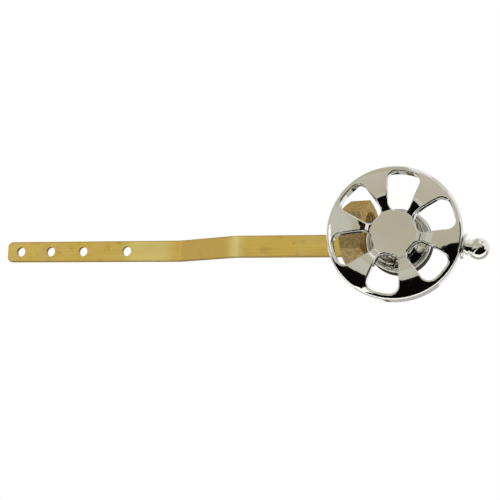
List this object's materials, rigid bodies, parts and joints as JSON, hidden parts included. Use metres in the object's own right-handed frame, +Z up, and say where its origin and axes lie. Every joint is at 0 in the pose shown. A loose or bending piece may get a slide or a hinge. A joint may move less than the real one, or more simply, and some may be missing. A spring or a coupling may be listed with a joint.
{
  "type": "cistern lever",
  "caption": "Front-mount cistern lever: chrome wheel handle with a ball finial on a spindle through a threaded shank, turning a flat joggled brass arm with chain holes.",
  "frame": {"origin": "on the spindle's axis, where the shank's thread starts, 0.4 mm behind the gasket's back face", "axes": "+Z up, +Y along the spindle into the tank, arm along -X, wheel facing -Y"},
  "size_m": [0.2341, 0.0633, 0.0536],
  "materials": {
    "chrome": "polished chrome plating",
    "strip_brass": "rolled strip, satin",
    "cast_brass": "rough cast",
    "turned_brass": "turned",
    "steel": "zinc plated",
    "rubber": "matt black",
    "nylon": "natural white"
  },
  "bodies": {
    "mounting": {"escutcheon": "chrome", "thrust_washer": "nylon", "flange_gasket": "rubber", "shank_bush": "nylon"},
    "lever": {"wheel_handle": "chrome", "ball_finial": "chrome", "handle_set_screw": "steel", "spindle": "turned_brass", "arm": "strip_brass", "arm_screw": "turned_brass", "spring_washer": "steel", "lock_nut": "cast_brass"}
  },
  "joints": [
    {"name": "lever_turn", "type": "hinge", "parent": "mounting", "child": "lever", "pos_m": [0, 0, 0], "axis": [0, 1, 0], "range_deg": [0, 35]}
  ]
}
